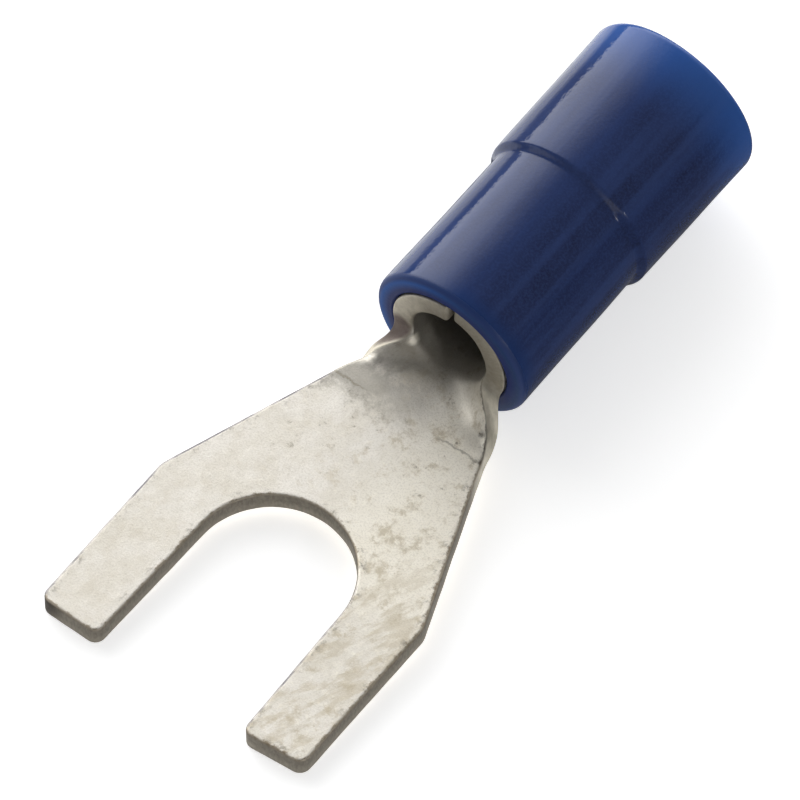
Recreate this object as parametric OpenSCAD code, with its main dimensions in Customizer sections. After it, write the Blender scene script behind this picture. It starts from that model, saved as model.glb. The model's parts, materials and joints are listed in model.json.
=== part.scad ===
// Insulated fork terminal for an M5 stud and 1.5 to 2.5 mm2 wire.
// One sheet of tinned copper is stamped to a fork and rolled to a barrel,
// and a stepped plastic sleeve is pushed over the barrel.
// The origin is the centre of the slot's round end, on the tongue's underside.
// +Y points along the barrel to the wire, +Z up along the stud.

/* [Tongue] */
// Width over the two tines
tongue_w = 10; // [9:0.1:12]
// Thickness of the sheet
sheet_t = 0.75; // [0.6:0.05:1]
// Width of the stud slot at its round end
slot_w = 5.3; // [4.3:0.1:5.7]
// Width of the stud slot at its mouth
slot_mouth_w = 5.56; // [5.3:0.02:6]
// Distance from the slot's centre to the tips of the tines
tine_len = 5; // [4:0.1:7]
// Distance from the slot's centre to the bends where the sides start to taper
bend_y = 1; // [0:0.1:2]
// Distance from the slot's centre to the end of the flat tongue
neck_y = 6.8; // [6:0.1:8]
// Width of the tongue at the end of its flat part
neck_w = 5.72; // [5:0.02:6.4]
// Radius of the corners at the tips
tip_r = 0.25; // [0.1:0.05:0.6]
// Radius of the bends in the sides
bend_r = 0.6; // [0.2:0.1:1.5]

/* [Barrel] */
// Inside diameter of the rolled barrel
barrel_bore = 2.8; // [2.3:0.1:3.2]
// Length of the closed barrel
barrel_len = 5.7; // [5:0.1:6.5]
// Length over which the flat tongue curls up to the barrel
fold_len = 2.1; // [1.6:0.1:2.6]
// Width of the sheet, laid flat, where it meets the barrel
throat_w = 4.16; // [3.6:0.02:4.6]
// Radius between the sheet's side and the barrel's front edge
shoulder_r = 0.45; // [0.2:0.05:0.6]
// Gap of the butt seam along the top of the barrel
seam_gap = 0.08; // [0.05:0.01:0.15]
// Depth of the clipped corners at the front of the seam
seam_notch = 0.1; // [0.05:0.05:0.3]
// Width of the bevels on the barrel's front edge
mouth_bevel = 0.08; // [0.02:0.01:0.15]
// Width of the bevel inside the barrel's rear edge
barrel_bevel = 0.3; // [0.1:0.05:0.4]

/* [Sleeve] */
// Length of the sleeve
sleeve_len = 11.5; // [10.5:0.1:13]
// How far the barrel's front edge stands out of the sleeve
barrel_proud = 0.05; // [0:0.05:0.3]
// Gap between the barrel and the sleeve's bore, on the radius
sleeve_gap = 0.02; // [0.01:0.01:0.05]
// Wall of the sleeve round the barrel, at its front
front_wall = 0.68; // [0.5:0.01:0.8]
// How much the front part's radius narrows towards the step
front_draft = 0.04; // [0:0.01:0.1]
// Inside diameter of the entry for the wire's insulation
entry_d = 4.7; // [4.2:0.1:5]
// Wall of the sleeve at the entry
entry_wall = 0.7; // [0.5:0.01:0.8]
// How much the rear part's radius widens towards the rim
rear_draft = 0.03; // [0:0.01:0.1]
// How far behind the barrel's rear end the middle of the outer step lies
step_after = 0.25; // [0:0.05:0.6]
// Length of the rounded outer step
step_len = 0.4; // [0.3:0.05:0.8]
// Length of the funnel from the entry down to the barrel
funnel_len = 1; // [0.6:0.1:1.5]
// How much wider the funnel's small end is than the barrel's bore
funnel_gap = 0.3; // [0.1:0.1:0.6]
// Width of the bevel inside the sleeve's front edge
front_bevel = 0.12; // [0.06:0.02:0.24]
// Radius of the sleeve's outer edges
edge_r = 0.25; // [0.1:0.05:0.3]
// Radius of the inside edge of the entry
rim_r = 0.2; // [0.1:0.05:0.3]

/* [Hidden] */

$fn = 96;
// Steps in a rounded corner, in the outer step, along and across the fold, and round its shoulder
corner_steps = 6;
wave_steps = 10;
fold_rows = 14;
fold_columns = 24;
shoulder_rows = 6;
// How far cutting shapes run past what they cut
cut_over = 1;
// How far, and how deep under its faces, the fold runs into the barrel's wall
tuck_len = 0.4;
tuck_depth = 0.02;
// How the curl builds up along the fold: 1 is even, more is later
fold_ease = 1.5;
// Longest half width over which the curl starts beside the flat middle
fold_soft = 0.8;
// Short steps across the sheet that its curl is summed over
curl_steps = 24;

slot_r = slot_w / 2;
bore_r = barrel_bore / 2;
barrel_r = bore_r + sheet_t;
sheet_mid_r = bore_r + sheet_t / 2;
axis_z = barrel_r;
mouth_y = neck_y + fold_len;
sleeve_y = mouth_y + barrel_proud;
seat_y = barrel_len - barrel_proud;
step_y = seat_y + step_after;
sleeve_bore_r = barrel_r + sleeve_gap;
front_r = sleeve_bore_r + front_wall;
entry_r = entry_d / 2;
rim_outer_r = entry_r + entry_wall;

// Unit vector from one point to another
function toward(from, to) = (to - from) / norm(to - from);

// Points of an arc of radius r that rounds the corner at b between a and c
function corner(a, b, c, r) =
    r == 0 ? [b] :
    let (
        to_a = toward(b, a),
        to_c = toward(b, c),
        half_angle = acos(to_a * to_c) / 2,
        centre = b + toward([0, 0], to_a + to_c) * r / sin(half_angle),
        start = b + to_a * r / tan(half_angle) - centre,
        finish = b + to_c * r / tan(half_angle) - centre,
        sweep = 180 - 2 * half_angle
    )
    [for (i = [0 : corner_steps])
        let (turn = sweep * i / corner_steps)
        centre + (start * sin(sweep - turn) + finish * sin(turn)) / sin(sweep)];

// Outline with each of its corners rounded by the radius of the same place in the list
function rounded(points, radii) =
    let (n = len(points))
    [for (i = [0 : n - 1])
        each corner(points[(i + n - 1) % n], points[i], points[(i + 1) % n], radii[i])];

// Half of the sheet's width, laid flat, along the straight taper from the neck to the barrel
function taper(y) = neck_w / 2 + (throat_w - neck_w) / 2 * (y - neck_y) / fold_len;

// How far the curl has come along the fold, from 0 at the neck to 1 at the barrel
function fold_done(y) =
    let (part = pow(min(1, max(0, (y - neck_y) / fold_len)), fold_ease))
    part * part * (3 - 2 * part);

// Angle of the sheet at the distance s from its middle line: the sides curl up first, the middle last
function sheet_turn(s, y) =
    let (
        done = fold_done(y),
        flat = taper(y) * (1 - done),
        soft = min(fold_soft, taper(y) * done, flat),
        bend = min(2 * soft, max(0, s - flat + soft)),
        start = soft > 0 ? bend * bend / (4 * soft) : 0
    )
    (start + max(0, s - flat - soft)) / sheet_mid_r * 180 / PI;

// Point of the sheet at the distance s from its middle line, raised by lift from its middle face
function sheet_point(s, y, lift) =
    let (
        reach = abs(s),
        turn = sheet_turn(reach, y),
        turns = [for (i = [0 : curl_steps - 1]) sheet_turn(reach * (i + 0.5) / curl_steps, y)],
        ones = [for (part = turns) 1],
        across = reach * (ones * [for (part = turns) cos(part)] / curl_steps) - lift * sin(turn),
        height = reach * (ones * [for (part = turns) sin(part)] / curl_steps) + lift * cos(turn)
    )
    [sign(s) * across, y, sheet_t / 2 + height];

// Rows of the fold as place along Y, half width laid flat and half thickness
fold_side_len = fold_len - shoulder_r;
fold_list = concat(
    [for (i = [0 : fold_rows - 1])
        let (y = neck_y + fold_side_len * i / fold_rows)
        [y, taper(y), sheet_t / 2]],
    [for (i = [0 : shoulder_rows])
        let (
            turn = 90 * i / shoulder_rows,
            y = mouth_y - shoulder_r + shoulder_r * sin(turn)
        )
        [y, taper(y) + shoulder_r * (1 - cos(turn)),
            sheet_t / 2 - tuck_depth * i / shoulder_rows]],
    [[mouth_y + tuck_len, throat_w / 2 + shoulder_r, sheet_t / 2 - tuck_depth]]
);

// Closed ring of points round the sheet's section in one row, along its top and back below
function fold_ring(row) = concat(
    [for (j = [0 : fold_columns])
        sheet_point(row[1] * (2 * j / fold_columns - 1), row[0], row[2])],
    [for (j = [fold_columns : -1 : 0])
        sheet_point(row[1] * (2 * j / fold_columns - 1), row[0], -row[2])]
);

// Flat outline of the tongue, with a straight slot up to the centre of its round end
tongue_outline = rounded(
    [
        [-slot_r, 0],
        [-slot_mouth_w / 2, -tine_len],
        [-tongue_w / 2, -tine_len],
        [-tongue_w / 2, bend_y],
        [-neck_w / 2, neck_y],
        [neck_w / 2, neck_y],
        [tongue_w / 2, bend_y],
        [tongue_w / 2, -tine_len],
        [slot_mouth_w / 2, -tine_len],
        [slot_r, 0]
    ],
    [0, tip_r, tip_r, bend_r, 0, 0, bend_r, tip_r, tip_r, 0]
);

// Section of the rolled barrel, as radius and distance from its front edge
barrel_section = [
    [bore_r, mouth_bevel],
    [bore_r + mouth_bevel, 0],
    [barrel_r - mouth_bevel, 0],
    [barrel_r, mouth_bevel],
    [barrel_r, barrel_len],
    [bore_r + barrel_bevel, barrel_len],
    [bore_r, barrel_len - barrel_bevel]
];

// Outer line of the step, rising in a smooth wave from the front part to the rear part
step_line = [for (i = [0 : wave_steps])
    let (
        part = i / wave_steps,
        low = front_r - front_draft,
        high = rim_outer_r - rear_draft
    )
    [low + (high - low) * (1 - cos(180 * part)) / 2, step_y + step_len * (part - 0.5)]];

// Section of the sleeve, as radius and distance from its front face
sleeve_section = concat(
    [
        [sleeve_bore_r, seat_y],
        [sleeve_bore_r, front_bevel],
        [sleeve_bore_r + front_bevel, 0]
    ],
    corner([sleeve_bore_r, 0], [front_r, 0], step_line[0], edge_r),
    step_line,
    corner(step_line[wave_steps], [rim_outer_r, sleeve_len], [entry_r, sleeve_len], edge_r),
    corner([rim_outer_r, sleeve_len], [entry_r, sleeve_len], [entry_r, seat_y + funnel_len], rim_r),
    [
        [entry_r, seat_y + funnel_len],
        [bore_r + funnel_gap / 2, seat_y]
    ]
);

// Sets what is drawn round the Z axis on the barrel's axis, starting at y
module along_barrel(y) {
    translate([0, y, axis_z])
        rotate([-90, 0, 0])
            children();
}

// Flat forked tongue with the round end of its slot
module tongue() {
    linear_extrude(sheet_t)
        difference() {
            polygon(tongue_outline);
            circle(slot_r);
        }
}

// Curled trough between the flat tongue and the barrel
module fold() {
    ring_len = 2 * (fold_columns + 1);
    last_row = len(fold_list) - 1;
    walls = [for (i = [0 : last_row - 1], j = [0 : ring_len - 1])
        let (
            a = i * ring_len + j,
            b = i * ring_len + (j + 1) % ring_len
        )
        each [[a, b + ring_len, b], [a, a + ring_len, b + ring_len]]];
    ends = [for (i = [0, last_row], j = [0 : fold_columns - 1])
        let (
            a = i * ring_len + j,
            b = i * ring_len + ring_len - 1 - j,
            quad = [a, b, b - 1, a + 1]
        )
        i == 0 ? [quad[3], quad[2], quad[1], quad[0]] : quad];
    polyhedron([for (row = fold_list) each fold_ring(row)], concat(walls, ends));
}

// Rolled barrel with its butt seam on top
module barrel() {
    along_barrel(mouth_y)
        difference() {
            rotate_extrude()
                polygon(barrel_section);
            translate([-seam_gap / 2, -barrel_r - cut_over, -cut_over])
                cube([seam_gap, barrel_r + cut_over, barrel_len + 2 * cut_over]);
            translate([0, -bore_r / 2, 0])
                rotate([90, 45, 0])
                    translate([-seam_notch, -seam_notch, 0])
                        cube([2 * seam_notch, 2 * seam_notch, barrel_r]);
        }
}

module fork_terminal() {
    color([0.78, 0.76, 0.71])
        union() {
            tongue();
            fold();
            barrel();
        }
}

module insulating_sleeve() {
    color([0.11, 0.18, 0.42])
        along_barrel(sleeve_y)
            rotate_extrude()
                polygon(sleeve_section);
}

fork_terminal();
insulating_sleeve();
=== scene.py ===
"""Looks of an insulated fork terminal: a tinned copper stamping in a glossy blue sleeve."""
import json
import math

import bpy
import numpy as np
from mathutils import Matrix, Vector, noise
from mathutils.geometry import delaunay_2d_cdt


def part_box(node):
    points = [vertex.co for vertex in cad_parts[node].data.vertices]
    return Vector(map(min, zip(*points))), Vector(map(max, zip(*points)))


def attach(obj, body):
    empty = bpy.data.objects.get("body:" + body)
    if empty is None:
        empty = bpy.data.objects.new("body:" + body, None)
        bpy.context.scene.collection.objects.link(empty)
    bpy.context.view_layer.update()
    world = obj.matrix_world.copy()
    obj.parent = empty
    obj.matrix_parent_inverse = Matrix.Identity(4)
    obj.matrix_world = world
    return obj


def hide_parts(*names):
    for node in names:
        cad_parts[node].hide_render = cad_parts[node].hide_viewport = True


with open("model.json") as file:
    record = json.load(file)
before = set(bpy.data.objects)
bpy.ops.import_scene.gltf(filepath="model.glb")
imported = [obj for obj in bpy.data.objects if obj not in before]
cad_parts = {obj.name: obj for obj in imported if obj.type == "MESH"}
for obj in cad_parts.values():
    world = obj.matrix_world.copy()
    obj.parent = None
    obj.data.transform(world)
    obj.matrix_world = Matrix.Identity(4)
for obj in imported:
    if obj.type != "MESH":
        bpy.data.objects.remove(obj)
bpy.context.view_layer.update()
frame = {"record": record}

# Lengths are in millimetres until a mesh is written
MM = 0.001
TINY = 1e-6

# Sizes that the frame gives
mounts = {mount["name"]: mount for mount in frame["record"]["mounts"]}
fork_low, fork_high = (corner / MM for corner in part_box("fork_terminal"))
sleeve_low, sleeve_high = (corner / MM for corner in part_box("insulating_sleeve"))
slot_r = mounts["stud_slot"]["dims"]["r_mm"]
sheet_t = mounts["stud_slot"]["dims"]["length_mm"]
bore_r = mounts["wire_barrel"]["dims"]["r_mm"]
axis_z = mounts["wire_barrel"]["pos_m"][2] / MM
entry_r = mounts["insulation_entry"]["dims"]["r_mm"]
tongue_w = fork_high.x - fork_low.x
tine_len = -fork_low.y
barrel_rear = fork_high.y
sleeve_front = sleeve_low.y
sleeve_len = sleeve_high.y - sleeve_low.y
rim_outer_r = (sleeve_high.x - sleeve_low.x) / 2

# Outline of the stamping laid flat, where the frame doesn't name it
SLOT_MOUTH_W = 5.56
BEND_Y = 1.0
NECK_Y = 6.8
NECK_W = 5.72
THROAT_W = 4.16
TIP_R = 0.36
BEND_R = 0.9
SHOULDER_R = 0.45
SEAM_GAP = 0.08
SEAM_CORNER_R = 0.16
# The fold: its length, how slowly it starts, how soft the curl's start is and how fast it gets so
FOLD_LEN = 2.1
FOLD_EASE = 1.5
FOLD_SOFT = 0.8
FOLD_RAMP = 8.0
# How far the seam's right side is tucked in, and the share of the half width where that starts
SEAM_TUCK = 0.07
TUCK_START = 0.7
mouth_y = NECK_Y + FOLD_LEN
barrel_r = bore_r + sheet_t
sheet_mid_r = bore_r + sheet_t / 2
blank_half = math.pi * sheet_mid_r - SEAM_GAP / 2

# Sizes of the sleeve that the frame doesn't name
SLEEVE_GAP = 0.02
FRONT_WALL = 0.68
FRONT_DRAFT = 0.04
REAR_DRAFT = 0.03
STEP_Y = 5.9
STEP_LEN = 0.3
FUNNEL_LEN = 1.0
FUNNEL_GAP = 0.3
FUNNEL_TOP_R = 0.3
FUNNEL_END_R = 0.1
FRONT_BEVEL = 0.06
BEVEL_R = 0.06
EDGE_R = 0.25
RIM_R = 0.2
sleeve_bore_r = barrel_r + SLEEVE_GAP
front_r = sleeve_bore_r + FRONT_WALL
seat_y = barrel_rear - sleeve_front


def srgb(red, green, blue):
    """Linear colour of a screen colour given from 0 to 255."""
    channels = []
    for value in (red, green, blue):
        part = value / 255
        channels.append(part / 12.92 if part <= 0.04045 else ((part + 0.055) / 1.055) ** 2.4)
    return (*channels, 1.0)


def smooth_step(low, high, value):
    """Rises smoothly from 0 at low to 1 at high."""
    part = np.clip((value - low) / (high - low), 0, 1)
    return part * part * (3 - 2 * part)


def noise_at(points, scale, offset):
    """Smooth noise from about -1 to 1 at each of the points."""
    shift = Vector((offset, -offset, 2 * offset))
    return np.array([noise.noise(Vector(point) * scale + shift) for point in points])


# Camera

CAMERA_AZIMUTH = math.radians(38.669)
CAMERA_ELEVATION = math.radians(58.595)
CAMERA_ROLL = math.radians(-1.167)
CAMERA_DISTANCE = 540.54
CAMERA_TARGET = Vector((-0.841, 7.541, 0.0))
FOCAL_PIXELS = 17632.6
IMAGE_PIXELS = 800
SENSOR = 36.0


def make_camera():
    """The photo's camera, above the tips and to their right."""
    back = Vector((
        math.sin(CAMERA_AZIMUTH) * math.cos(CAMERA_ELEVATION),
        -math.cos(CAMERA_AZIMUTH) * math.cos(CAMERA_ELEVATION),
        math.sin(CAMERA_ELEVATION),
    ))
    level = Vector((math.cos(CAMERA_AZIMUTH), math.sin(CAMERA_AZIMUTH), 0))
    upright = back.cross(level)
    right = level * math.cos(CAMERA_ROLL) + upright * math.sin(CAMERA_ROLL)
    up = upright * math.cos(CAMERA_ROLL) - level * math.sin(CAMERA_ROLL)
    data = bpy.data.cameras.new("camera")
    data.sensor_width = SENSOR
    data.lens = FOCAL_PIXELS * SENSOR / IMAGE_PIXELS
    camera = bpy.data.objects.new("camera", data)
    place = Matrix((right, up, back)).transposed().to_4x4()
    place.translation = (CAMERA_TARGET + back * CAMERA_DISTANCE) * MM
    camera.matrix_world = place
    bpy.context.collection.objects.link(camera)
    bpy.context.scene.camera = camera


# Meshes

def new_object(name, points, faces, material):
    """Adds a mesh whose points are given in millimetres."""
    mesh = bpy.data.meshes.new(name)
    mesh.from_pydata([tuple(point) for point in np.asarray(points) * MM], [], faces)
    mesh.materials.append(material)
    added = bpy.data.objects.new(name, mesh)
    bpy.context.collection.objects.link(added)
    return added


def new_piece(name, points, faces, replaced, material):
    """Adds a smooth mesh that stands for one solid of the frame."""
    piece = new_object(name, points, faces, material)
    piece.data.polygons.foreach_set("use_smooth", [True] * len(faces))
    piece.data.update()
    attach(piece, "root")
    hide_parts(replaced)
    return piece


def add_values(piece, name, values):
    """Stores one number, or one vector, for each point of a mesh."""
    values = np.asarray(values, dtype=np.float32)
    kind, field = ("FLOAT", "value") if values.ndim == 1 else ("FLOAT_VECTOR", "vector")
    layer = piece.data.attributes.new(name, kind, "POINT")
    layer.data.foreach_set(field, values.ravel())


def ring_faces(first, second, count):
    """Faces between two closed rings of points, given where each ring starts and its length."""
    return [
        (first + index, second + index, second + (index + 1) % count, first + (index + 1) % count)
        for index in range(count)
    ]


def corner_arc(before, corner, after, radius, steps=8):
    """Points of an arc that rounds a corner between its two neighbours."""
    before, corner, after = (np.array(point, dtype=float) for point in (before, corner, after))
    to_before = (before - corner) / np.linalg.norm(before - corner)
    to_after = (after - corner) / np.linalg.norm(after - corner)
    half = math.acos(np.dot(to_before, to_after)) / 2
    middle = to_before + to_after
    centre = corner + middle / np.linalg.norm(middle) * radius / math.sin(half)
    start = corner + to_before * radius / math.tan(half) - centre
    finish = corner + to_after * radius / math.tan(half) - centre
    sweep = math.pi - 2 * half
    turns = [sweep * step / steps for step in range(steps + 1)]
    return [
        tuple(centre + (start * math.sin(sweep - turn) + finish * math.sin(turn)) / math.sin(sweep))
        for turn in turns
    ]


def fill_line(points, spacing):
    """Adds points along a closed line so that none of its stretches is longer than the spacing."""
    filled = []
    for start, finish in zip(points, points[1:] + points[:1]):
        count = max(1, math.ceil(math.dist(start, finish) / spacing))
        filled += [
            tuple(np.array(start) + (np.array(finish) - np.array(start)) * step / count)
            for step in range(count)
        ]
    return filled


# Stamping

# How finely it is meshed
OUTLINE_SPACING = 0.11
GRID_SPACING = 0.13
GRID_CLEAR = 0.7 * GRID_SPACING
SHOULDER_STEPS = 12
SLOT_STEPS = 64
ROLL_STEPS = 5
WALL_STEPS = 4
CURL_SPOTS = 24
# Setting of the triangulation that keeps only the triangles inside the outline
TRIANGLES_INSIDE = 1
# Radii of the cut edge at the top and bottom, and how far in the flat faces start
TOP_ROLL = 0.1
BOTTOM_ROLL = 0.05
FACE_INSET = 0.15
# Heights of the small waves of the cut edge and of the faces
EDGE_WOBBLE = 0.01
FACE_WOBBLE = 0.004
# Where the left edge of the fold is worn round, how far along, how deep, how far in and how steeply
WORN_Y = 7.88
WORN_LEN = 0.34
WORN_DEPTH = 0.26
WORN_REACH = 0.28
WORN_EASE = 1.5
# Dents and swellings of the fold: across, along, radius and height
FOLD_LUMPS = (
    (-2.45, 8.2, 0.35, -0.07),
    (-1.85, 8.6, 0.22, 0.05),
    (1.75, 7.95, 0.4, 0.05),
    (2.4, 7.6, 0.25, -0.04),
    (0.3, 7.7, 0.5, -0.03),
)
# How far the barrel's front edge is set back right of the seam, from where, and how far in it fades
SEAM_SKEW = 0.18
SKEW_START = 2.6
SKEW_REACH = 1.5
# Direction in plan of the edges that the painted shade line follows, the left and rear ones
AWAY = (-0.62, 0.78)


def taper(y):
    """Half of the blank's width along the straight taper from the neck to the barrel."""
    return NECK_W / 2 + (THROAT_W - NECK_W) / 2 * (y - NECK_Y) / FOLD_LEN


def blank_side():
    """Right-hand outline of the blank laid flat, from the slot's mouth to the rear of the seam."""
    tip_y = -tine_len
    half = tongue_w / 2
    tip_in = (SLOT_MOUTH_W / 2, tip_y)
    tip_out = (half, tip_y)
    bend = (half, BEND_Y)
    neck = (NECK_W / 2, NECK_Y)
    shoulder = []
    for step in range(SHOULDER_STEPS + 1):
        turn = math.pi / 2 * step / SHOULDER_STEPS
        y = mouth_y - SHOULDER_R + SHOULDER_R * math.sin(turn)
        shoulder.append((taper(y) + SHOULDER_R * (1 - math.cos(turn)), y))
    seam_front = (blank_half, mouth_y)
    seam_rear = (blank_half, barrel_rear)
    return [
        *corner_arc((slot_r, 0), tip_in, tip_out, TIP_R),
        *corner_arc(tip_in, tip_out, bend, TIP_R),
        *corner_arc(tip_out, bend, neck, BEND_R),
        *shoulder,
        *corner_arc(shoulder[-1], seam_front, seam_rear, SEAM_CORNER_R),
        *corner_arc(seam_front, seam_rear, (0, barrel_rear), SEAM_CORNER_R),
    ]


def blank_outline():
    """Closed outline of the blank laid flat, anticlockwise seen from above."""
    right = blank_side()
    left = [(-s, y) for s, y in reversed(right)]
    slot = [
        (slot_r * math.cos(turn), slot_r * math.sin(turn))
        for turn in (math.pi * (1 - step / SLOT_STEPS) for step in range(SLOT_STEPS + 1))
    ]
    return np.array(fill_line(right + left + slot, OUTLINE_SPACING))


def inset_loop(loop, distance):
    """The closed loop moved inwards by the distance."""
    before = loop - np.roll(loop, 1, axis=0)
    after = np.roll(loop, -1, axis=0) - loop
    before /= np.linalg.norm(before, axis=1)[:, None]
    after /= np.linalg.norm(after, axis=1)[:, None]
    normal_before = np.column_stack((-before[:, 1], before[:, 0]))
    normal = normal_before + np.column_stack((-after[:, 1], after[:, 0]))
    normal /= np.linalg.norm(normal, axis=1)[:, None]
    reach = distance / np.clip(np.sum(normal * normal_before, axis=1), 0.5, 1)
    return loop + normal * reach[:, None]


def edge_section():
    """Rounded section of the sheet's cut edge: inset and height, from the top face to the bottom."""
    half = sheet_t / 2
    turns = [math.pi / 2 * step / ROLL_STEPS for step in range(ROLL_STEPS + 1)]
    wall = half - TOP_ROLL + half - BOTTOM_ROLL
    return [
        (FACE_INSET, half),
        *((TOP_ROLL * (1 - math.sin(turn)), half - TOP_ROLL * (1 - math.cos(turn))) for turn in turns),
        *((0, half - TOP_ROLL - wall * step / WALL_STEPS) for step in range(1, WALL_STEPS)),
        *((BOTTOM_ROLL * (1 - math.cos(turn)), BOTTOM_ROLL * (1 - math.sin(turn)) - half) for turn in turns),
        (FACE_INSET, -half),
    ]


def inside(points, loop):
    """Which points lie inside the closed loop."""
    x, y = points[:, 0][:, None], points[:, 1][:, None]
    start, finish = loop, np.roll(loop, -1, axis=0)
    crosses = (start[:, 1] > y) != (finish[:, 1] > y)
    rise = finish[:, 1] - start[:, 1]
    run = (finish[:, 0] - start[:, 0]) / np.where(rise == 0, 1, rise)
    left_of = x < start[:, 0] + (y - start[:, 1]) * run
    return np.sum(crosses & left_of, axis=1) % 2 == 1


def face_grid(loop):
    """Evenly spread points inside the loop, how far in they are, and the triangles between them."""
    low, high = loop.min(axis=0), loop.max(axis=0)
    rows = np.arange(low[1], high[1], GRID_SPACING * math.sqrt(0.75))
    columns = np.arange(low[0], high[0], GRID_SPACING)
    grid = np.array([
        (s + GRID_SPACING / 2 * (row % 2), y)
        for row, y in enumerate(rows)
        for s in columns
    ])
    grid = grid[inside(grid, loop)]
    nearest = np.array([math.sqrt(np.min(np.sum((loop - point) ** 2, axis=1))) for point in grid])
    clear = nearest > GRID_CLEAR
    grid = grid[clear]
    points = [Vector(point) for point in np.vstack((loop, grid))]
    count = len(loop)
    edges = [(index, (index + 1) % count) for index in range(count)]
    result = delaunay_2d_cdt(points, edges, [], TRIANGLES_INSIDE, TINY)
    source = [origins[0] for origins in result[3]]
    triangles = [tuple(source[index] for index in face) for face in result[2]]
    return grid, nearest[clear], triangles


def sheet_turn(reach, flat, soft):
    """Angle that the sheet has turned by, at a reach from its middle: flat first, then rolled."""
    bend = np.clip(reach - flat + soft, 0, 2 * soft)
    return (bend ** 2 / (4 * soft) + np.clip(reach - flat - soft, 0, None)) / sheet_mid_r


def rolled(blank):
    """Places points of the flat blank, as across, along and lift, on the folded and rolled sheet."""
    s, y, lift = blank.T
    reach = np.abs(s)
    done = smooth_step(0, 1, np.clip((y - NECK_Y) / FOLD_LEN, 0, 1) ** FOLD_EASE)
    flat = np.where(done > 0, taper(y) * (1 - done), tongue_w)
    soft = np.clip(np.minimum(FOLD_RAMP * done, flat), TINY, FOLD_SOFT)
    spots, shares = np.polynomial.legendre.leggauss(CURL_SPOTS)
    turns = sheet_turn(reach[:, None] * (1 + spots) / 2, flat[:, None], soft[:, None])
    turn = sheet_turn(reach, flat, soft)
    lift = lift + SEAM_TUCK * done * smooth_step(TUCK_START * blank_half, blank_half, s)
    across = reach * (np.cos(turns) @ shares) / 2 - lift * np.sin(turn)
    height = reach * (np.sin(turns) @ shares) / 2 + lift * np.cos(turn)
    return np.column_stack((np.sign(s) * across, y, sheet_t / 2 + height))


def fold_wear(blank, depth):
    """How far the fold's dents, swellings and worn left edge lift each point of the blank."""
    across, along, height = blank.T
    lift = np.zeros(len(blank))
    for lump_across, lump_along, radius, lump in FOLD_LUMPS:
        off = np.hypot(across - lump_across, along - lump_along)
        lift += lump * np.exp(-(off / radius) ** 2)
    near_edge = np.clip(1 - depth / WORN_REACH, 0, 1) ** WORN_EASE
    worn = np.exp(-((along - WORN_Y) / WORN_LEN) ** 2) * near_edge
    upper = np.clip(height / sheet_t + 0.5, 0, 1)
    return lift - WORN_DEPTH * np.where(across < 0, worn, 0) * upper


def seam_skew(blank):
    """How far along each point is moved because the barrel's right half is rolled a little askew."""
    across, along, _ = blank.T
    near_seam = smooth_step(SKEW_START, blank_half, across)
    return SEAM_SKEW * near_seam * smooth_step(mouth_y + SKEW_REACH, mouth_y, along)


def make_stamping(material):
    """The forked sheet, meshed as a flat blank and then folded and rolled."""
    outline = blank_outline()
    count = len(outline)
    outward = outline - inset_loop(outline, 1.0)
    wobble = EDGE_WOBBLE * noise_at(np.column_stack((outline, np.zeros(count))), scale=1.7, offset=3.1)
    section = edge_section()
    layers = []
    depths = []
    for inset, height in section:
        shift = wobble * smooth_step(FACE_INSET, 0, inset)
        ring = inset_loop(outline, inset) + outward * shift[:, None]
        layers.append(np.column_stack((ring, np.full(count, height))))
        depths.append(np.full(count, inset))
    grid, grid_depth, triangles = face_grid(layers[0][:, :2])
    for height in (sheet_t / 2, -sheet_t / 2):
        layers.append(np.column_stack((grid, np.full(len(grid), height))))
        depths.append(grid_depth + FACE_INSET)
    blank = np.vstack(layers)
    depth = np.concatenate(depths)
    away = np.concatenate((np.tile(outward @ AWAY, len(section)), np.zeros(2 * len(grid))))

    plan = blank * (1, 1, 0)
    ripple = noise_at(plan, scale=0.45, offset=7.7) + 0.5 * noise_at(plan, scale=1.3, offset=1.9)
    lift = FACE_WOBBLE * ripple + fold_wear(blank, depth)
    moved = blank + np.column_stack((0 * lift, seam_skew(blank), lift))

    ring_total = count * len(section)
    faces = []
    for ring in range(len(section) - 1):
        faces += ring_faces(ring * count, (ring + 1) * count, count)
    top = [*range(count), *range(ring_total, ring_total + len(grid))]
    bottom = [*range(ring_total - count, ring_total), *range(ring_total + len(grid), len(blank))]
    faces += [tuple(top[index] for index in face) for face in triangles]
    faces += [tuple(bottom[index] for index in reversed(face)) for face in triangles]
    piece = new_piece("stamping", rolled(moved), faces, "fork_terminal", material)
    add_values(piece, "blank", blank)
    add_values(piece, "edge", depth)
    add_values(piece, "away", away)


# Sleeve

# How finely it is meshed
SLEEVE_SEGMENTS = 192
SECTION_SPACING = 0.2
STEP_POINTS = 24
# Height of its small waves, which start outside the bore and are full inside the front radius
SLEEVE_WOBBLE = 0.02
WAVES_START = 0.4
WAVES_FULL = 0.1


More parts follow.
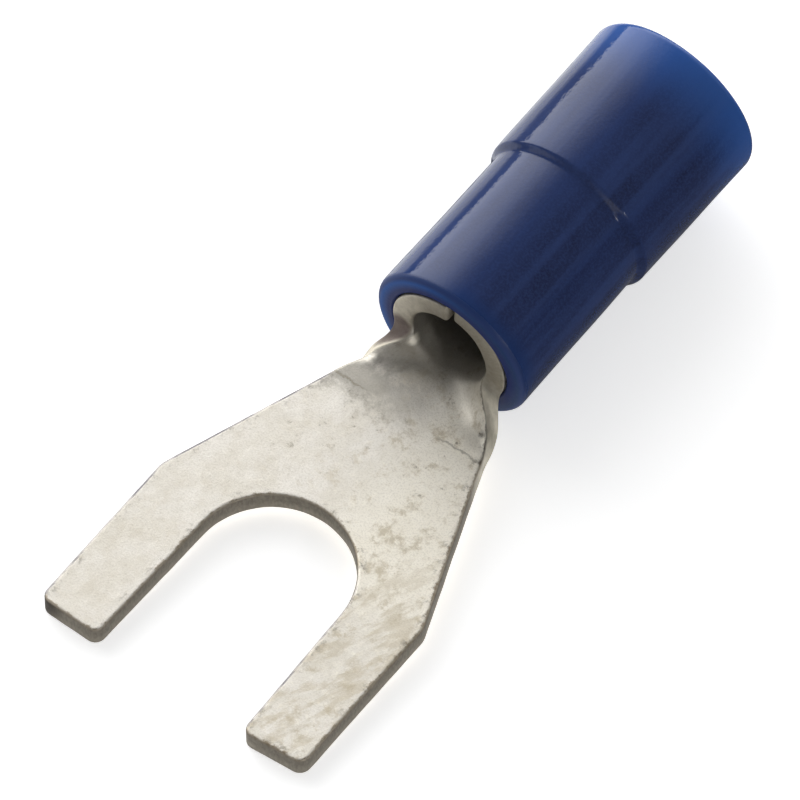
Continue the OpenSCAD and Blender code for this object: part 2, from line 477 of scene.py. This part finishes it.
def sleeve_section():
    """Closed section of the sleeve, as radius and distance from its front face."""
    low, high = front_r - FRONT_DRAFT, rim_outer_r - REAR_DRAFT
    step_line = []
    for step in range(STEP_POINTS + 1):
        part = step / STEP_POINTS
        step_line.append((
            low + (high - low) * (1 - math.cos(math.pi * part)) / 2,
            STEP_Y + STEP_LEN * (part - 0.5),
        ))
    bore_edge = (sleeve_bore_r, FRONT_BEVEL)
    face_edge = (sleeve_bore_r + FRONT_BEVEL, 0)
    front_corner = (front_r, 0)
    rim_corner = (rim_outer_r, sleeve_len)
    entry_corner = (entry_r, sleeve_len)
    funnel_top = (entry_r, seat_y + FUNNEL_LEN)
    funnel_end = (bore_r + FUNNEL_GAP / 2, seat_y)
    seat = (sleeve_bore_r, seat_y)
    line = [
        seat,
        *corner_arc(seat, bore_edge, face_edge, BEVEL_R, steps=4),
        *corner_arc(bore_edge, face_edge, front_corner, BEVEL_R, steps=4),
        *corner_arc(face_edge, front_corner, step_line[0], EDGE_R, steps=12),
        *step_line,
        *corner_arc(step_line[-1], rim_corner, entry_corner, EDGE_R, steps=12),
        *corner_arc(rim_corner, entry_corner, funnel_top, RIM_R, steps=10),
        *corner_arc(entry_corner, funnel_top, funnel_end, FUNNEL_TOP_R, steps=4),
        *corner_arc(funnel_top, funnel_end, seat, FUNNEL_END_R, steps=4),
    ]
    return fill_line(line, SECTION_SPACING)


def make_sleeve(material):
    """The sleeve's section turned round the barrel's axis, with small waves on its outside."""
    section = np.array(sleeve_section())
    rows = len(section)
    points = np.array([
        (radius * math.sin(turn), sleeve_front + along, axis_z + radius * math.cos(turn))
        for turn in 2 * math.pi * np.arange(SLEEVE_SEGMENTS) / SLEEVE_SEGMENTS
        for radius, along in section
    ])
    radii = np.tile(section[:, 0], SLEEVE_SEGMENTS)
    outer = smooth_step(sleeve_bore_r + WAVES_START, front_r - WAVES_FULL, radii)
    swell = SLEEVE_WOBBLE * outer * noise_at(points * (1, 0.8, 1), scale=0.5, offset=5.3)
    spokes = (points - (0, 0, axis_z)) * (1, 0, 1)
    points = points + spokes * (swell / radii)[:, None]
    faces = []
    for segment in range(SLEEVE_SEGMENTS):
        faces += ring_faces(segment * rows, (segment + 1) % SLEEVE_SEGMENTS * rows, rows)
    new_piece("sleeve", points, faces, "insulating_sleeve", material)


# Materials

class Tree:
    """Adds nodes to a node tree, with sockets or plain values as their inputs."""

    def __init__(self, owner):
        owner.use_nodes = True
        self.tree = owner.node_tree
        self.tree.nodes.clear()

    def add(self, kind, inputs=None, **settings):
        node = self.tree.nodes.new(kind)
        for name, value in settings.items():
            setattr(node, name, value)
        for key, value in (inputs or {}).items():
            if isinstance(value, bpy.types.NodeSocket):
                self.tree.links.new(value, node.inputs[key])
            else:
                node.inputs[key].default_value = value
        return node

    def math(self, operation, first, second=0.0, third=0.0):
        inputs = {0: first, 1: second, 2: third}
        return self.add("ShaderNodeMath", inputs, operation=operation).outputs[0]

    def product(self, first, *others):
        for other in others:
            first = self.math("MULTIPLY", first, other)
        return first

    def ramp(self, value, low, high, out_low=0.0, out_high=1.0):
        """Maps low to high onto another span, smoothly and without running past it."""
        node = self.add("ShaderNodeMapRange", {
            "Value": value,
            "From Min": low,
            "From Max": high,
            "To Min": out_low,
            "To Max": out_high,
        }, interpolation_type="SMOOTHSTEP")
        return node.outputs["Result"]

    def noise(self, vector, scale, detail, roughness):
        node = self.add("ShaderNodeTexNoise", {
            "Vector": vector,
            "Scale": scale,
            "Detail": detail,
            "Roughness": roughness,
        })
        return node.outputs["Fac"]

    def place(self, vector, scale=(1, 1, 1), turn=(0, 0, 0), shift=(0, 0, 0)):
        node = self.add("ShaderNodeMapping", {
            "Vector": vector,
            "Scale": scale,
            "Rotation": turn,
            "Location": shift,
        })
        return node.outputs["Vector"]

    def distance(self, vector, point):
        inputs = {0: vector, 1: point}
        return self.add("ShaderNodeVectorMath", inputs, operation="DISTANCE").outputs["Value"]

    def mix(self, share, first, second):
        """Mixes two colours: inputs 6 and 7 and output 2 are the node's colour sockets."""
        inputs = {0: share, 6: first, 7: second}
        return self.add("ShaderNodeMix", inputs, data_type="RGBA").outputs[2]

    def bump(self, height, depth):
        """Normal of a relief whose depth is given in millimetres."""
        inputs = {"Height": height, "Strength": 1.0, "Distance": depth * MM}
        return self.add("ShaderNodeBump", inputs).outputs["Normal"]

    def finish(self, surface):
        self.add("ShaderNodeOutputMaterial", {"Surface": surface.outputs[0]})


# Colours of the tin: its faces, its stains, its painted shade, glint and reflection, the lines along its
# edges and its cut edges
TIN_DULL = srgb(232, 227, 216)
TIN_PALE = srgb(240, 236, 228)
TIN_BRIGHT = srgb(250, 245, 232)
TIN_GREY = srgb(202, 191, 168)
TIN_GRAIN = srgb(203, 197, 184)
# Dark specks, and painted shade along the crease of the fold
TIN_SPECK_AND_SHADE = srgb(140, 133, 116)
# Painted shade of the neck, of the trough and its crevice, and deep in the bore
NECK_SHADE = srgb(120, 116, 106)
TROUGH_SHADE = srgb(84, 77, 66)
BORE_SHADE = srgb(58, 50, 40)
# Painted reflection of the sleeve on the left shoulder's cut face
SLEEVE_REFLECTION = srgb(92, 74, 76)
EDGE_TAN = srgb(160, 143, 118)
# Painted shade line along the left and rear edges
EDGE_SHADE = srgb(116, 113, 118)
EDGE_PIT = srgb(150, 145, 136)
CUT_DARK = srgb(110, 104, 94)
CUT_PALE = srgb(153, 147, 135)
# Plated cut edge, painted brighter where it is lit
CUT_PLATED_LIT = srgb(230, 224, 208)
CUT_DIRT = srgb(62, 56, 50)
# Noises of the tin: scale, detail and roughness
CLOUDS = (0.8, 5, 0.6)
MOTTLE = (3.0, 8, 0.75)
BLOTCH = (1.7, 8, 0.75)
GRAIN = (16, 4, 0.65)
STREAKS = (1, 6, 0.65)
SHEAR = (11, 4, 0.6)
STREAK_TURN = math.radians(23)
STREAK_SCALE = (2.6, 0.7, 1)
SHEAR_SCALE = (1, 1, 0.4)
TIN_RELIEF = 0.012
# Places on the blank, as across, along and height from the middle of the sheet
DIRTY_CORNER = (-4.9, -4.85, 0.2)
# Where the sleeve's reflection is painted on the left shoulder
SLEEVE_REFLECTION_SPOT = (-2.4, 8.72, -0.1)
# Where painted shade lies on the trough's left
SHADED_TROUGH = (-1.45, 8.25, 0.37)
# Where a glint is painted on the mouth's left inner wall
GLINT_SPOT = (-1.95, 8.85, 0.37)
DARK_SPOTS = (((2.3, 7.7, 0.37), 0.12), ((2.75, 6.9, 0.37), 0.1))
# Spans of the blank, across or along it, from where something starts to where it is full
RICH_ACROSS = (-2.5, 1.5)
LIGHT_ACROSS = (-0.5, 2.0)
LIGHT_ALONG = (-1.0, 2.5)
SPECKS_ALONG = (2.0, 5.5)
TINE_ACROSS = (1.4, 3.0)
TINE_ALONG = (4.5, 1.0)
NECK_FRONT = (5.9, 7.0)
NECK_REAR = (8.3, 7.3)
NECK_ACROSS = (1.2, -1.6)
WALL_ACROSS = (1.0, 1.8)
WALL_ALONG = (7.0, 7.6)
HOLLOW_FRONT = (7.6, 8.9)
HOLLOW_REAR = (9.2, 8.4)
HOLLOW_ACROSS = (0.0, -1.2)
BORE_ALONG = (9.2, 10.3)
CREASE_RIGHT = (0.9, 1.6)
CREASE_LEFT = (-1.4, -2.0)
AWAY_SHADE_ALONG = (7.0, 6.4)
TAN_LINE_ACROSS = (-1.5, -0.5)
TAN_LINE_ALONG = (7.6, 7.2)
CREVICE_SHADE_ALONG = (6.6, 7.4)
# Spans of the plated cut edges painted brighter as if lit
PLATED_LIT_LEFT = (-5.0, -4.0)
PLATED_LIT_RIGHT = (2.2, 1.2)
PLATED_LIT_FOLD = (8.85, 8.5)
PLATED_LIT_ALONG = (5.4, 7.0)
CREASE_Y = 7.1
CREASE_WIDTH = 0.06
PLATED_LIT_SHARE = 0.6
# Depth from the cut edge within which its own colour sets in
CUT_DEPTH = 0.05


class Tin(Tree):
    """A node tree with the places on the blank and the noises that the tin's colours share."""

    def __init__(self, owner):
        super().__init__(owner)
        self.blank = self.stored("blank", "Vector")
        self.edge = self.stored("edge", "Fac")
        self.away = self.stored("away", "Fac")
        places = self.add("ShaderNodeSeparateXYZ", {"Vector": self.blank}).outputs
        self.across, self.along, self.height = places
        self.clouds = self.noise(self.place(self.blank, shift=(3, 1, 0)), *CLOUDS)
        self.mottle = self.noise(self.place(self.blank, shift=(7, 4, 0)), *MOTTLE)
        self.blotch = self.noise(self.place(self.blank, shift=(1, 6, 0)), *BLOTCH)
        self.grain = self.noise(self.place(self.blank, shift=(5, 5, 0)), *GRAIN)

    def stored(self, name, output):
        """A value that the mesh stores for each of its points."""
        return self.add("ShaderNodeAttribute", attribute_name=name).outputs[output]

    def ragged_distance(self, point, noise_value, weight):
        """Distance from a place on the blank, made uneven by a noise."""
        return self.math("MULTIPLY_ADD", noise_value, weight, self.distance(self.blank, point))


def plated_faces(tin):
    """Colour of the plated faces, with more blotches and flecks on the right."""
    # Clouds, bright flecks, tan blotches and fine grain
    rich = tin.ramp(tin.across, *RICH_ACROSS, 0.25, 1)
    colour = tin.mix(tin.ramp(tin.clouds, 0.35, 0.65), TIN_DULL, TIN_PALE)
    lighter = tin.product(tin.ramp(tin.across, *LIGHT_ACROSS, 0, 0.8), tin.ramp(tin.along, *LIGHT_ALONG))
    colour = tin.mix(lighter, colour, TIN_BRIGHT)
    bright = tin.product(rich, tin.ramp(tin.mottle, 0.5, 0.68, 0, 0.7))
    colour = tin.mix(bright, colour, TIN_BRIGHT)
    dull = tin.product(rich, tin.ramp(tin.blotch, 0.5, 0.66, 0, 0.8))
    colour = tin.mix(dull, colour, TIN_GREY)
    colour = tin.mix(tin.ramp(tin.grain, 0.45, 0.65, 0, 0.36), colour, TIN_GRAIN)

    # Dark specks, mostly between the slot and the neck
    speck = tin.product(
        tin.ramp(tin.along, *SPECKS_ALONG),
        tin.ramp(tin.blotch, 0.5, 0.6),
        tin.ramp(tin.mottle, 0.44, 0.34, 0, 0.8),
    )
    colour = tin.mix(speck, colour, TIN_SPECK_AND_SHADE)

    # Streaks of the right tine
    turned = tin.place(tin.blank, turn=(0, 0, STREAK_TURN))
    stripes = tin.noise(tin.place(turned, scale=STREAK_SCALE), *STREAKS)
    streak = tin.product(
        tin.ramp(tin.across, *TINE_ACROSS),
        tin.ramp(tin.along, *TINE_ALONG),
        tin.ramp(stripes, 0.45, 0.6, 0, 0.5),
    )
    return tin.mix(streak, colour, TIN_GREY)


def shaded_fold(tin, colour):
    """Adds the painted shade of the neck, the fold, the crease and the bore, a painted glint at the mouth,
    and dark spots.
    """
    # Painted shade across the neck in front of the sleeve, deeper on the left
    cloudy = tin.math("ADD", tin.along, tin.ramp(tin.blotch, 0.3, 0.7, -0.45, 0.45))
    neck_shade = tin.product(
        tin.ramp(cloudy, *NECK_FRONT),
        tin.ramp(cloudy, *NECK_REAR),
        tin.ramp(tin.across, *NECK_ACROSS, 0, 0.5),
    )
    colour = tin.mix(neck_shade, colour, NECK_SHADE)

    # Painted shade in the trough and the bore, deeper on the trough's left and over the right wall's
    # reflection, and a painted glint at the mouth
    # wall is painted shade over the reflection on the right wall; hollow is painted shade deepening towards
    # the mouth, more on the left
    wall = tin.product(tin.ramp(tin.across, *WALL_ACROSS, 0, 0.18), tin.ramp(tin.along, *WALL_ALONG))
    hollow = tin.product(
        tin.ramp(tin.along, *HOLLOW_FRONT, 0, 0.5),
        tin.ramp(tin.along, *HOLLOW_REAR, 0.95, 1),
        tin.ramp(tin.across, *HOLLOW_ACROSS, 0.92, 1.15),
    )
    colour = tin.mix(tin.math("MAXIMUM", hollow, wall), colour, TROUGH_SHADE)
    colour = tin.mix(tin.ramp(tin.along, *BORE_ALONG, 0, 0.6), colour, BORE_SHADE)
    # Painted shade over the trough's left, which softens the edge of its shadow
    shaded_left = tin.ragged_distance(SHADED_TROUGH, tin.blotch, 0.6)
    colour = tin.mix(tin.ramp(shaded_left, 1.5, 0.4, 0, 0.36), colour, TROUGH_SHADE)
    # Painted glint on the mouth's left inner wall
    glint = tin.ragged_distance(GLINT_SPOT, tin.mottle, 0.3)
    colour = tin.mix(tin.ramp(glint, 0.45, 0.25, 0, 0.9), colour, TIN_BRIGHT)

    # Painted shade along the crease where the fold starts, at both sides, and dark spots on the right
    wavy = tin.math("MULTIPLY_ADD", tin.blotch, 0.5, tin.along)
    off_crease = tin.math("ABSOLUTE", tin.math("SUBTRACT", wavy, CREASE_Y))
    at_sides = tin.math("MAXIMUM", tin.ramp(tin.across, *CREASE_RIGHT), tin.ramp(tin.across, *CREASE_LEFT))
    crease_shade = tin.product(tin.ramp(off_crease, CREASE_WIDTH, 0, 0, 0.6), at_sides)
    colour = tin.mix(crease_shade, colour, TIN_SPECK_AND_SHADE)
    for centre, radius in DARK_SPOTS:
        spot = tin.ragged_distance(centre, tin.mottle, 0.5)
        colour = tin.mix(tin.ramp(spot, radius + 0.3, radius + 0.1, 0, 0.8), colour, CUT_DIRT)
    return colour


def edge_lines(tin, colour):
    """Adds pits near the edges, a painted shade line along the left and rear ones and a tan one elsewhere,
    which turns to painted crevice shade along the fold.
    """
    pit = tin.product(
        tin.ramp(tin.edge, 0.4, 0.12),
        tin.ramp(tin.blotch, 0.46, 0.6),
        tin.ramp(tin.mottle, 0.47, 0.58, 0, 0.8),
    )
    colour = tin.mix(pit, colour, EDGE_PIT)
    away_shade_line = tin.product(
        tin.ramp(tin.away, 0.0, 0.3),
        tin.ramp(tin.along, *AWAY_SHADE_ALONG),
        tin.ramp(tin.edge, 0.11, 0.07),
        tin.ramp(tin.clouds, 0.4, 0.6, 0.45, 1),
    )
    colour = tin.mix(away_shade_line, colour, EDGE_SHADE)
    ragged = tin.math("SUBTRACT", tin.edge, tin.ramp(tin.mottle, 0.45, 0.65, 0, 0.1))
    tan_and_shade_line = tin.product(
        tin.ramp(tin.away, 0.1, -0.2),
        tin.ramp(ragged, 0.08, 0.03, 0, 0.65),
        tin.math("MAXIMUM", tin.ramp(tin.across, *TAN_LINE_ACROSS), tin.ramp(tin.along, *TAN_LINE_ALONG)),
    )
    # Along the fold the line turns to painted shade of the crevice between the inner face and the cut face
    return tin.mix(tan_and_shade_line, colour, tin.mix(tin.ramp(tin.along, *CREVICE_SHADE_ALONG), EDGE_TAN, TROUGH_SHADE))


def cut_edges(tin):
    """Colour of the sheared cut edges: plated over at the fold and painted brighter there as if lit, with a
    dirty corner and a painted reflection of the sleeve on the left shoulder.
    """
    torn = tin.ramp(tin.math("MULTIPLY_ADD", tin.mottle, 0.4, tin.height), 0.3, 0.0, 0, 0.45)
    shear = tin.noise(tin.place(tin.blank, scale=SHEAR_SCALE), *SHEAR)
    pale = tin.math("ADD", torn, tin.ramp(shear, 0.35, 0.65, 0.1, 0.5))
    colour = tin.mix(pale, CUT_DARK, CUT_PALE)
    # Plated cut edges, partly painted brighter as if lit, most at the mouth's ring
    left, right = (tin.ramp(tin.across, *span, 0.5, 1) for span in (PLATED_LIT_LEFT, PLATED_LIT_RIGHT))
    plated_and_lit = tin.product(
        tin.math("MAXIMUM", tin.product(left, right, PLATED_LIT_SHARE), tin.ramp(tin.along, *PLATED_LIT_FOLD)),
        tin.ramp(tin.along, *PLATED_LIT_ALONG),
        tin.ramp(tin.mottle, 0.35, 0.6, 0.75, 1),
    )
    colour = tin.mix(plated_and_lit, colour, CUT_PLATED_LIT)
    corner = tin.distance(tin.blank, DIRTY_CORNER)
    colour = tin.mix(tin.ramp(corner, 1.0, 0.3, 0, 0.9), colour, CUT_DIRT)
    # Painted reflection of the sleeve on the cut face of the left shoulder
    shoulder = tin.distance(tin.blank, SLEEVE_REFLECTION_SPOT)
    return tin.mix(tin.ramp(shoulder, 0.6, 0.3, 0, 0.75), colour, SLEEVE_REFLECTION)


def tinned_copper():
    """Matt tin plating with clouds, blotches, stains, painted shade, a painted glint and a painted
    reflection, and dull cut edges.
    """
    material = bpy.data.materials.new("tinned_copper")
    tin = Tin(material)
    colour = edge_lines(tin, shaded_fold(tin, plated_faces(tin)))
    cut = tin.ramp(tin.edge, CUT_DEPTH, 0)
    relief = tin.math("MULTIPLY_ADD", tin.grain, 0.5, tin.mottle)
    tin.finish(tin.add("ShaderNodeBsdfPrincipled", {
        "Base Color": tin.mix(cut, colour, cut_edges(tin)),
        "Metallic": 1.0,
        "Roughness": tin.math("MULTIPLY_ADD", cut, 0.06, tin.ramp(tin.mottle, 0.3, 0.7, 0.62, 0.5)),
        "Normal": tin.bump(relief, TIN_RELIEF),
    }))
    return material


# Colours of the vinyl: its body, its painted light and shade, its front edge and its front ring
VINYL_DARK = srgb(34, 44, 81)
VINYL_PALE = srgb(39, 52, 94)
VINYL_GRAIN = srgb(49, 68, 119)
VINYL_STREAK = srgb(53, 73, 126)
# Painted glow of light through the rear rim
VINYL_BACKLIT = srgb(51, 95, 172)
VINYL_EDGE = srgb(32, 58, 112)
VINYL_LIP = srgb(33, 58, 114)
VINYL_FACE = srgb(18, 56, 108)
# Painted light on the ring's lit left side, and painted shade inside it
VINYL_LIT_FACE = srgb(10, 84, 168)
VINYL_INNER_SHADE = srgb(10, 38, 104)
# Noises of the vinyl: scale, detail and roughness
VINYL_CLOUDS = (0.7, 3, 0.5)
FINE_GRAIN = (13, 3, 0.7)
PEBBLES = (9, 1, 0.5)
STROKES = (1.7, 2, 0.5)
DRAWN_SCALE = (1, 0.05, 1)
VINYL_RELIEF = 0.008
VINYL_IOR = 1.38
# Spans across the sleeve where its left side, which the panel lights, is painted paler and its front ring
# painted bluer as if lit
LIT_SIDE_ACROSS = (1.6, 0.0)
LIT_FACE_ACROSS = (1.5, -2.0)
# How far the rear rim's painted glow of light through the vinyl fades forwards, and how far past the rim it
# would be full
BACKLIT_FADE = 2.7
BACKLIT_PAST = 0.3
# Reach behind the front face of the edge's tint, the dull end and the ring, and where all are full
TINT_REACH = 0.9
DULL_REACH = 0.3
RING_REACH = 0.2
FRONT_FULL = 0.05
# Spans of the ring's painted shade inside, outwards from the bore, and of its lip, inwards from the outside
INNER_SHADE_SPAN = (0.15, 0.5)
LIP_SPAN = (0.22, 0.08)


def front_ring(tree, place, across):
    """Colour of the cut ring at the sleeve's front, painted bluer on its lit left side and darker in its
    shaded inside.
    """
    off_axis = tree.distance(tree.place(place, scale=(1, 0, 1)), (0, 0, axis_z))
    face = tree.mix(tree.ramp(across, *LIT_FACE_ACROSS), VINYL_FACE, VINYL_LIT_FACE)
    outside = tree.ramp(off_axis, *(sleeve_bore_r + reach for reach in INNER_SHADE_SPAN))
    lip = tree.ramp(off_axis, *(front_r - reach for reach in LIP_SPAN))
    return tree.mix(lip, tree.mix(outside, VINYL_INNER_SHADE, face), VINYL_LIP)


def blue_vinyl():
    """Glossy vinyl with fine grain and long streaks, painted bluer at its rear rim as if lit through and
    paler on its lit side, and dull at its cut front.
    """
    material = bpy.data.materials.new("blue_vinyl")
    tree = Tree(material)
    metres = tree.add("ShaderNodeTexCoord").outputs["Object"]
    place = tree.place(metres, scale=(1 / MM, 1 / MM, 1 / MM))
    across, along, _ = tree.add("ShaderNodeSeparateXYZ", {"Vector": place}).outputs
    clouds = tree.noise(place, *VINYL_CLOUDS)
    grain = tree.noise(place, *FINE_GRAIN)
    pebble = tree.noise(place, *PEBBLES)
    strokes = tree.noise(tree.place(place, scale=DRAWN_SCALE), *STROKES)
    tint, dull, ring = (
        tree.ramp(along, sleeve_front + reach, sleeve_front + FRONT_FULL)
        for reach in (TINT_REACH, DULL_REACH, RING_REACH)
    )
    colour = tree.mix(tree.ramp(clouds, 0.35, 0.65), VINYL_DARK, VINYL_PALE)
    colour = tree.mix(tree.ramp(grain, 0.4, 0.65, 0, 0.6), colour, VINYL_GRAIN)
    colour = tree.mix(tree.ramp(strokes, 0.42, 0.68, 0, 0.6), colour, VINYL_STREAK)
    # Painted light: the lit left side paler
    colour = tree.mix(tree.ramp(across, *LIT_SIDE_ACROSS, 0, 0.55), colour, VINYL_GRAIN)
    rear = sleeve_front + sleeve_len
    colour = tree.mix(tree.ramp(along, rear - BACKLIT_FADE, rear + BACKLIT_PAST), colour, VINYL_BACKLIT)
    colour = tree.mix(tint, colour, VINYL_EDGE)
    colour = tree.mix(ring, colour, front_ring(tree, place, across))
    relief = tree.math("MULTIPLY_ADD", strokes, 1.5, tree.math("MULTIPLY_ADD", pebble, 0.55, clouds))
    tree.finish(tree.add("ShaderNodeBsdfPrincipled", {
        "Base Color": colour,
        "Roughness": tree.math("MULTIPLY_ADD", dull, 0.5, tree.ramp(grain, 0.3, 0.7, 0.05, 0.1)),
        "IOR": VINYL_IOR,
        "Normal": tree.bump(relief, VINYL_RELIEF),
    }))
    return material


# Floor and light

WHITE = (1, 1, 1, 1)
# The floor is white out to the near radius and grey from the far one
FLOOR_RADIUS = 300
FLOOR_SIDES = 96
FLOOR_NEAR = 22
FLOOR_FAR = 34
FLOOR_WHITE = (0.88, 0.88, 0.88, 1)
FLOOR_GREY = (0.3, 0.3, 0.3, 1)
# Glow of the floor in reflections, and as the camera sees it near the part and far from it
FLOOR_GLOW = 0.5
SEEN_GLOW = 0.6
FAR_GLOW = 0.85
# The card stands right of the sleeve and the mats, dark sheets for the floor's shadow, lie on the floor
# beside it
FLAG_X = 4.0
FLAG_HEIGHT = 4.6
FLAG_DROP = 1
FLAG_ENDS = (8.0, 28.0)
FLAG_LIGHT = 0.13
SHADOW_MATS = ((-5.5, -2.0), (1.0, 4.0))
SHADOW_MAT_ENDS = (9.5, 28.0)
SHADOW_MAT_LIFT = 0.05
# Strengths of the lights
PANEL_LIGHT = 3.05
BACK_LIGHT = 0.5
FRONT_LIGHT = 0.8
SIDE_LIGHT = 0.7
LAMP_LIGHT = 48.0
ROOM_LIGHT = 0.2
# The panel's sweep to the left of upright, from where it is full to where it ends
PANEL_SWEEP = (math.radians(-62), math.radians(-8))
# Spans of a direction's x, y or z, from where a light starts to where it is full
PANEL_Y = (-0.3, 0.1)
BACK_Y = (0.5, 0.75)
FRONT_Y = (-0.35, -0.6)
FRONT_X = (0.15, 0.5)
SIDE_X = (0.35, 0.65)
SIDE_Y = (0.3, 0.1)
LOW_Z = (0.42, 0.22)
HORIZON_Z = (-0.02, 0.03)
# Share of the front light that is left in its middle
FRONT_MIDDLE = 0.35
# Direction of the lamp, its radius as a length of that direction, and the share that is fully lit
LAMP_DIRECTION = (0.9, -0.224, 0.371)
LAMP_SIZE = 0.055
LAMP_FULL = 0.6


def floor_height(y):
    """Height of the floor, which the tips of the tines and the front edge of the sleeve rest on."""
    tip_y = BOTTOM_ROLL - tine_len
    edge_y = sleeve_front + EDGE_R
    return (axis_z - front_r) * (y - tip_y) / (edge_y - tip_y)


def floor_paint():
    """White near the part and grey far from it, with a glow for the camera and for reflections."""
    material = bpy.data.materials.new("floor")
    tree = Tree(material)
    place = tree.add("ShaderNodeTexCoord").outputs["Object"]
    reach = tree.add("ShaderNodeVectorMath", {0: place}, operation="LENGTH").outputs["Value"]
    pool = tree.ramp(reach, FLOOR_FAR * MM, FLOOR_NEAR * MM)
    ray = tree.add("ShaderNodeLightPath").outputs
    mirrored = tree.math("MAXIMUM", ray["Is Glossy Ray"], ray["Is Transmission Ray"])
    mirrored = tree.product(mirrored, pool, FLOOR_GLOW)
    seen = tree.product(ray["Is Camera Ray"], tree.ramp(pool, 0, 1, FAR_GLOW, SEEN_GLOW))
    glow = tree.add("ShaderNodeEmission", {"Color": WHITE, "Strength": tree.math("MAXIMUM", seen, mirrored)})
    paint = tree.add("ShaderNodeBsdfDiffuse", {"Color": tree.mix(pool, FLOOR_GREY, FLOOR_WHITE)})
    tree.finish(tree.add("ShaderNodeAddShader", {0: paint.outputs[0], 1: glow.outputs[0]}))
    return material


def make_floor():
    """A pale floor that the part rests on, with a white pool round it."""
    points = [
        (FLOOR_RADIUS * math.cos(turn), FLOOR_RADIUS * math.sin(turn), 0)
        for turn in (2 * math.pi * side / FLOOR_SIDES for side in range(FLOOR_SIDES))
    ]
    floor = new_object("floor", points, [tuple(range(FLOOR_SIDES))], floor_paint())
    slope = math.atan(floor_height(1) - floor_height(0))
    middle = Vector((0, CAMERA_TARGET.y, floor_height(CAMERA_TARGET.y)))
    floor.matrix_world = Matrix.Translation(middle * MM) @ Matrix.Rotation(slope, 4, "X")


def make_flag():
    """A dark card right of the sleeve and a dark mat on each side of it, a painted shadow of the floor,
    which only reflections show.
    """
    material = bpy.data.materials.new("flag")
    tree = Tree(material)
    tree.finish(tree.add("ShaderNodeEmission", {"Color": WHITE, "Strength": FLAG_LIGHT}))
    front, rear = FLAG_ENDS
    low = sleeve_low.z - FLAG_DROP
    corners = [
        (FLAG_X, y, z)
        for y, z in ((front, low), (rear, low), (rear, FLAG_HEIGHT), (front, FLAG_HEIGHT))
    ]
    front, rear = SHADOW_MAT_ENDS
    for left, right in SHADOW_MATS:
        for x, y in ((left, front), (right, front), (right, rear), (left, rear)):
            corners.append((x, y, floor_height(y) + SHADOW_MAT_LIFT))
    flag = new_object("flag", corners, [(0, 1, 2, 3), (4, 5, 6, 7), (8, 9, 10, 11)], material)
    flag.visible_camera = False
    flag.visible_diffuse = False
    flag.visible_shadow = False


def make_light():
    """A soft panel on the left, weaker lights behind, in front and on the right, and a small lamp."""
    world = bpy.data.worlds.new("studio")
    bpy.context.scene.world = world
    tree = Tree(world)
    direction = tree.add("ShaderNodeTexCoord").outputs["Generated"]
    x, y, z = tree.add("ShaderNodeSeparateXYZ", {"Vector": direction}).outputs
    sweep = tree.math("ARCTAN2", x, z)
    panel = tree.product(tree.ramp(sweep, *PANEL_SWEEP, PANEL_LIGHT, 0), tree.ramp(y, *PANEL_Y))
    back = tree.ramp(y, *BACK_Y, 0, BACK_LIGHT)
    off_middle = tree.ramp(tree.math("ABSOLUTE", x), *FRONT_X, FRONT_MIDDLE, 1)
    front = tree.product(tree.ramp(y, *FRONT_Y, 0, FRONT_LIGHT), off_middle)
    side = tree.product(tree.ramp(x, *SIDE_X, 0, SIDE_LIGHT), tree.ramp(y, *SIDE_Y))
    low = tree.product(tree.math("MAXIMUM", front, side), tree.ramp(z, *LOW_Z))
    strength = tree.math("MAXIMUM", tree.math("MAXIMUM", panel, back), low)
    off_lamp = tree.distance(direction, LAMP_DIRECTION)
    lamp = tree.ramp(off_lamp, LAMP_SIZE, LAMP_FULL * LAMP_SIZE, 0, LAMP_LIGHT)
    strength = tree.math("ADD", tree.math("ADD", strength, lamp), ROOM_LIGHT)
    strength = tree.product(strength, tree.ramp(z, *HORIZON_Z))
    light = tree.add("ShaderNodeBackground", {"Color": WHITE, "Strength": strength})
    tree.add("ShaderNodeOutputWorld", {"Surface": light.outputs[0]})


make_camera()
make_light()
make_floor()
make_flag()
make_stamping(tinned_copper())
make_sleeve(blue_vinyl())

bpy.context.scene.view_settings.view_transform = "Standard"
